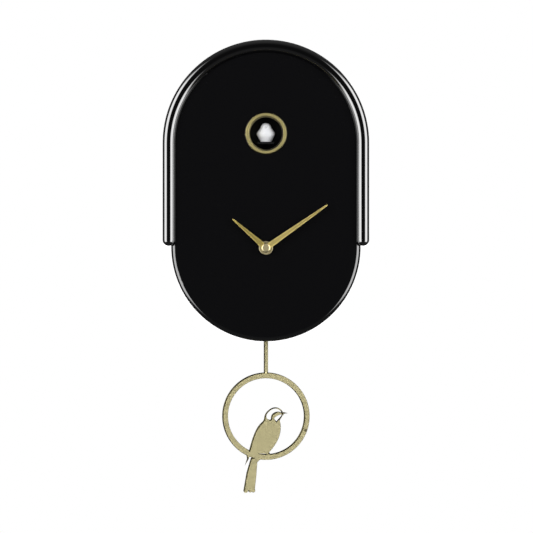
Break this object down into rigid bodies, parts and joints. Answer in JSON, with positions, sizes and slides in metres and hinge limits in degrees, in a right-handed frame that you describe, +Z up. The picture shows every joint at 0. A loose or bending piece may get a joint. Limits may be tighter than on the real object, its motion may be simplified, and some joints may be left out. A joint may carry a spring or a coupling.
{
  "type": "pendulum wall clock",
  "caption": "Pill-shaped wall clock with a hood, a bird in a round porthole, hour and minute hands, and a ring pendulum with a bird silhouette.",
  "frame": {"origin": "centre of the keyhole in the back cover, on the wall plane", "axes": "+Z up, +Y towards the wall (the dial faces -Y), +X to the right as seen from the front"},
  "size_m": [0.2082, 0.0716, 0.4548],
  "materials": {
    "case_black": "high-gloss black",
    "inner_black": "moulded black",
    "cover_black": "fine texture",
    "gold": "satin gold plate",
    "pale_brass": "polished pale brass plate",
    "white_bird": "satin white",
    "movement_black": "moulded",
    "white_acetal": "moulded gears",
    "steel": "bright zinc",
    "motor_steel": "nickel plate",
    "copper": "enamelled copper winding",
    "magnet": "sintered",
    "board_green": "solder mask",
    "cell_wrap": "plain sleeve",
    "rubber": "matt",
    "speaker_paper": "pressed paper"
  },
  "bodies": {
    "case": {"case_shell": "case_black", "hood": "case_black", "hood_screws": "steel", "back_cover": "cover_black", "back_cover_screws": "steel", "porthole_ring": "gold", "porthole_tunnel": "inner_black", "cuckoo_chassis": "inner_black", "chassis_screws": "steel", "gear_pins": "steel", "cuckoo_motor": "motor_steel", "movement_base": "movement_black", "movement_cover": "movement_black", "movement_arbors": "steel", "stator": "steel", "stepper_coil": "copper", "movement_battery": "cell_wrap", "movement_contacts": "steel", "movement_circuit_board": "board_green", "quartz_crystal": "motor_steel", "rubber_washer": "rubber", "fixing_nut": "gold", "pendulum_cover": "movement_black", "pendulum_housing": "movement_black", "pendulum_screws": "steel", "pendulum_pivot_pin": "steel", "pendulum_coil": "copper", "pendulum_circuit_board": "board_green", "battery_box": "inner_black", "cuckoo_batteries": "cell_wrap", "battery_contacts": "steel", "speaker_frame": "motor_steel", "speaker_cone": "speaker_paper", "sound_circuit_board": "board_green", "board_tray": "inner_black", "board_screws": "steel", "switch_body": "movement_black"},
    "minute_hand": {"minute_hand": "gold", "hand_cap": "gold", "cannon_pinion": "white_acetal"},
    "hour_hand": {"hour_hand": "gold", "hour_wheel": "white_acetal"},
    "minute_wheel": {"minute_wheel": "white_acetal"},
    "setting_knob": {"setting_knob": "movement_black"},
    "rotor": {"rotor": "magnet"},
    "intermediate_wheel": {"intermediate_wheel": "white_acetal"},
    "seconds_wheel": {"seconds_wheel": "white_acetal"},
    "third_wheel": {"third_wheel": "white_acetal"},
    "centre_wheel": {"centre_wheel": "white_acetal"},
    "cuckoo": {"bird": "white_bird", "bird_carriage": "inner_black"},
    "rack_pinion_gear": {"rack_pinion_gear": "white_acetal"},
    "reduction_gear": {"reduction_gear": "white_acetal"},
    "motor_pinion": {"motor_pinion": "white_acetal"},
    "pendulum": {"swing_arm": "inner_black", "swing_magnet": "magnet", "pendulum_rod": "pale_brass", "pendulum_bob": "pale_brass"},
    "battery_door": {"battery_door": "cover_black"},
    "switch_knob": {"switch_knob": "movement_black"}
  },
  "joints": [
    {"name": "minute_hand_turn", "type": "hinge", "parent": "case", "child": "minute_hand", "pos_m": [0, -0.05, -0.165], "axis": [0, 1, 0], "continuous": true},
    {"name": "hour_hand_turn", "type": "hinge", "parent": "case", "child": "hour_hand", "pos_m": [0, -0.05, -0.165], "axis": [0, 1, 0], "continuous": true},
    {"name": "minute_wheel_turn", "type": "hinge", "parent": "case", "child": "minute_wheel", "pos_m": [-0.00849, -0.05, -0.15651], "axis": [0, 1, 0], "continuous": true},
    {"name": "setting_knob_turn", "type": "hinge", "parent": "case", "child": "setting_knob", "pos_m": [-0.00849, -0.05, -0.14451], "axis": [0, 1, 0], "continuous": true},
    {"name": "rotor_turn", "type": "hinge", "parent": "case", "child": "rotor", "pos_m": [-0.01422, -0.05, -0.168], "axis": [0, 1, 0], "continuous": true},
    {"name": "intermediate_wheel_turn", "type": "hinge", "parent": "case", "child": "intermediate_wheel", "pos_m": [-0.00822, -0.05, -0.168], "axis": [0, 1, 0], "continuous": true},
    {"name": "seconds_wheel_turn", "type": "hinge", "parent": "case", "child": "seconds_wheel", "pos_m": [0, -0.05, -0.165], "axis": [0, 1, 0], "continuous": true},
    {"name": "third_wheel_turn", "type": "hinge", "parent": "case", "child": "third_wheel", "pos_m": [0.01015, -0.05, -0.16131], "axis": [0, 1, 0], "continuous": true},
    {"name": "centre_wheel_turn", "type": "hinge", "parent": "case", "child": "centre_wheel", "pos_m": [0, -0.05, -0.165], "axis": [0, 1, 0], "continuous": true},
    {"name": "bird_slide", "type": "slide", "parent": "case", "child": "cuckoo", "axis": [0, -1, 0], "range_m": [0, 0.018]},
    {"name": "rack_pinion_turn", "type": "hinge", "parent": "case", "child": "rack_pinion_gear", "pos_m": [0.003, -0.026, -0.0662], "axis": [1, 0, 0], "range_deg": [-2, 348]},
    {"name": "reduction_gear_turn", "type": "hinge", "parent": "case", "child": "reduction_gear", "pos_m": [0.003, -0.026, -0.0738], "axis": [1, 0, 0], "range_deg": [-969, 4]},
    {"name": "motor_pinion_turn", "type": "hinge", "parent": "case", "child": "motor_pinion", "pos_m": [0.003, -0.026, -0.0814], "axis": [1, 0, 0], "range_deg": [-6, 2707]},
    {"name": "pendulum_swing", "type": "hinge", "parent": "case", "child": "pendulum", "pos_m": [0, -0.036, -0.203], "axis": [0, 1, 0], "range_deg": [-7, 7]},
    {"name": "battery_door_open", "type": "hinge", "parent": "case", "child": "battery_door", "pos_m": [0.023, -0.0012, -0.104], "axis": [0, 0, 1], "range_deg": [0, 95]},
    {"name": "mode_switch_slide", "type": "slide", "parent": "case", "child": "switch_knob", "axis": [1, 0, 0], "range_m": [0, 0.004]}
  ],
  "couplings": [
    {"joint": "hour_hand_turn", "follows": "minute_hand_turn", "ratio": 0.083333},
    {"joint": "minute_wheel_turn", "follows": "minute_hand_turn", "ratio": -0.33333},
    {"joint": "setting_knob_turn", "follows": "minute_hand_turn", "ratio": 1},
    {"joint": "intermediate_wheel_turn", "follows": "rotor_turn", "ratio": -0.2},
    {"joint": "seconds_wheel_turn", "follows": "rotor_turn", "ratio": 0.033333},
    {"joint": "third_wheel_turn", "follows": "rotor_turn", "ratio": -0.0041667},
    {"joint": "centre_wheel_turn", "follows": "rotor_turn", "ratio": 0.00055556},
    {"joint": "rack_pinion_turn", "follows": "bird_slide", "rad_per_m": 333.33},
    {"joint": "reduction_gear_turn", "follows": "bird_slide", "rad_per_m": -933.33},
    {"joint": "motor_pinion_turn", "follows": "bird_slide", "rad_per_m": 2613.3}
  ]
}
